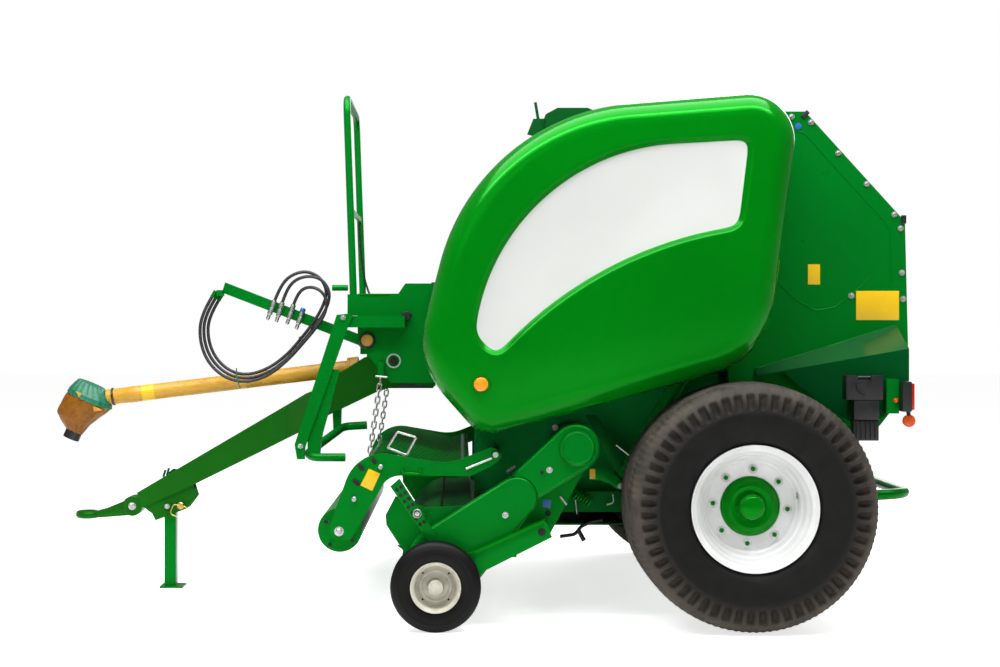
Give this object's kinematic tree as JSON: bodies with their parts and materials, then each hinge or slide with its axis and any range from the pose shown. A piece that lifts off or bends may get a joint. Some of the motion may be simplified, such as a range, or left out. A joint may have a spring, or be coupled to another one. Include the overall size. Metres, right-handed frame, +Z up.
{
  "type": "round baler",
  "caption": "Trailed round baler with a fixed roller chamber, opening tailgate, side doors, tined pickup with gauge wheels, drawbar with towing eye and parking stand.",
  "frame": {"origin": "on the ground under the middle of the machine's box", "axes": "+X forward to the towing eye, +Y to the machine's left, +Z up along the towing eye's bore"},
  "size_m": [3.5507, 2.538, 2.103],
  "materials": {
    "green_steel": "gloss enamel",
    "door_green": "gloss gel coat",
    "green_forging": "enamel over a forging",
    "green_plastic": "moulded",
    "yellow_plastic": "moulded",
    "black_plastic": "moulded",
    "lamp_plastic": "moulded lens",
    "tyre_rubber": "matt rubber",
    "silver_rim": "silver enamel",
    "bare_steel": "worn bright",
    "chain_steel": "zinc plated",
    "dark_steel": "dark enamel",
    "cast_iron": "as cast, painted",
    "chromed_rod": "polished"
  },
  "bodies": {
    "root": {"axle_beam": "green_steel", "lower_frame": "green_steel", "side_plates": "green_steel", "front_cover": "green_steel", "net_box": "dark_steel", "front_rollers": "bare_steel", "feed_floor": "dark_steel", "headstock": "green_steel", "gearbox": "cast_iron", "drawbar": "green_steel", "towing_eye": "green_forging", "hose_arm": "green_steel", "guard_hoop": "green_steel", "access_ladder": "green_steel", "guard_chains": "chain_steel", "round_cap": "black_plastic", "hose_couplings": "chain_steel", "hose_1": "black_plastic", "hose_2": "black_plastic", "hose_3": "black_plastic"},
    "tailgate": {"tailgate_shell": "green_steel", "tailgate_rollers": "bare_steel", "tail_lamps": "lamp_plastic", "wheel_chocks": "black_plastic"},
    "left_door": {"left_door": "door_green"},
    "right_door": {"right_door": "door_green"},
    "rotor": {"feed_rotor": "bare_steel"},
    "pickup": {"pickup_frame": "green_steel", "pickup_bands": "green_steel", "drive_case": "green_steel"},
    "reel": {"pickup_reel": "bare_steel"},
    "wind_guard": {"wind_guard": "green_steel"},
    "crop_roller": {"crop_roller": "green_steel"},
    "stand": {"parking_stand": "green_steel"},
    "kicker": {"bale_kicker": "green_steel"},
    "drive_shaft": {"pto_guard": "yellow_plastic", "pto_collar": "green_plastic", "pto_bell": "yellow_plastic", "pto_yoke": "black_plastic"},
    "main_wheel_left": {"main_tyre_left": "tyre_rubber", "main_rim_left": "silver_rim", "main_hub_left": "green_steel"},
    "gauge_wheel_left": {"gauge_tyre_left": "tyre_rubber", "gauge_rim_left": "silver_rim"},
    "barrel_left": {"barrel_left": "green_steel"},
    "rod_left": {"rod_left": "chromed_rod"},
    "main_wheel_right": {"main_tyre_right": "tyre_rubber", "main_rim_right": "silver_rim", "main_hub_right": "green_steel"},
    "gauge_wheel_right": {"gauge_tyre_right": "tyre_rubber", "gauge_rim_right": "silver_rim"},
    "barrel_right": {"barrel_right": "green_steel"},
    "rod_right": {"rod_right": "chromed_rod"}
  },
  "joints": [
    {"name": "tailgate_hinge", "type": "hinge", "parent": "root", "child": "tailgate", "pos_m": [-0.985, 0, 1.962], "axis": [0, 1, 0], "range_deg": [0, 60]},
    {"name": "left_door_hinge", "type": "hinge", "parent": "root", "child": "left_door", "pos_m": [-0.81, 0.768, 1.962], "axis": [1, 0, 0], "range_deg": [0, 70]},
    {"name": "right_door_hinge", "type": "hinge", "parent": "root", "child": "right_door", "pos_m": [-0.81, -0.768, 1.962], "axis": [-1, 0, 0], "range_deg": [0, 70]},
    {"name": "rotor_turn", "type": "hinge", "parent": "root", "child": "rotor", "pos_m": [-0.421, 0, 0.674], "axis": [0, 1, 0], "continuous": true},
    {"name": "pickup_lift", "type": "hinge", "parent": "root", "child": "pickup", "pos_m": [-0.421, 0, 0.674], "axis": [0, -1, 0], "range_deg": [-3, 12]},
    {"name": "reel_turn", "type": "hinge", "parent": "pickup", "child": "reel", "pos_m": [0.075, 0, 0.24], "axis": [0, 1, 0], "continuous": true},
    {"name": "wind_guard_lift", "type": "hinge", "parent": "root", "child": "wind_guard", "pos_m": [-0.118, 0, 0.646], "axis": [0, -1, 0], "range_deg": [0, 12], "deforming": ["guard_chains"]},
    {"name": "crop_roller_turn", "type": "hinge", "parent": "wind_guard", "child": "crop_roller", "pos_m": [0.474, 0, 0.355], "axis": [0, 1, 0], "continuous": true},
    {"name": "stand_fold", "type": "hinge", "parent": "root", "child": "stand", "pos_m": [1.277, 0, 0.355], "axis": [0, 1, 0], "range_deg": [0, 105]},
    {"name": "kicker_drop", "type": "hinge", "parent": "root", "child": "kicker", "pos_m": [-1.15, 0, 0.44], "axis": [0, -1, 0], "range_deg": [0, 20]},
    {"name": "drive_shaft_pitch", "type": "hinge", "parent": "root", "child": "drive_shaft", "pos_m": [0.4603, 0, 0.95766], "axis": [0, -1, 0], "range_deg": [-8, 12]},
    {"name": "main_wheel_left_turn", "type": "hinge", "parent": "root", "child": "main_wheel_left", "pos_m": [-1.063, 1.02, 0.462], "axis": [0, 1, 0], "continuous": true},
    {"name": "gauge_wheel_left_turn", "type": "hinge", "parent": "pickup", "child": "gauge_wheel_left", "pos_m": [0.106, 1.142, 0.168], "axis": [0, 1, 0], "continuous": true},
    {"name": "barrel_left_swing", "type": "hinge", "parent": "root", "child": "barrel_left", "pos_m": [-0.64, 0.73, 0.56], "axis": [0, 1, 0], "range_deg": [-2.98, 0.5]},
    {"name": "rod_left_slide", "type": "slide", "parent": "barrel_left", "child": "rod_left", "axis": [-0.5062, 0, 0.8624], "range_m": [0, 0.5189]},
    {"name": "main_wheel_right_turn", "type": "hinge", "parent": "root", "child": "main_wheel_right", "pos_m": [-1.063, -1.02, 0.462], "axis": [0, 1, 0], "continuous": true},
    {"name": "gauge_wheel_right_turn", "type": "hinge", "parent": "pickup", "child": "gauge_wheel_right", "pos_m": [0.106, -1.142, 0.168], "axis": [0, 1, 0], "continuous": true},
    {"name": "barrel_right_swing", "type": "hinge", "parent": "root", "child": "barrel_right", "pos_m": [-0.64, -0.73, 0.56], "axis": [0, 1, 0], "range_deg": [-2.98, 0.5]},
    {"name": "rod_right_slide", "type": "slide", "parent": "barrel_right", "child": "rod_right", "axis": [-0.5062, 0, 0.8624], "range_m": [0, 0.5189]}
  ],
  "couplings": [
    {"joint": "barrel_left_swing", "follows": "tailgate_hinge", "ratio": -0.041274},
    {"joint": "rod_left_slide", "follows": "tailgate_hinge", "m_per_rad": 0.49361},
    {"joint": "barrel_right_swing", "follows": "tailgate_hinge", "ratio": -0.041274},
    {"joint": "rod_right_slide", "follows": "tailgate_hinge", "m_per_rad": 0.49361}
  ]
}
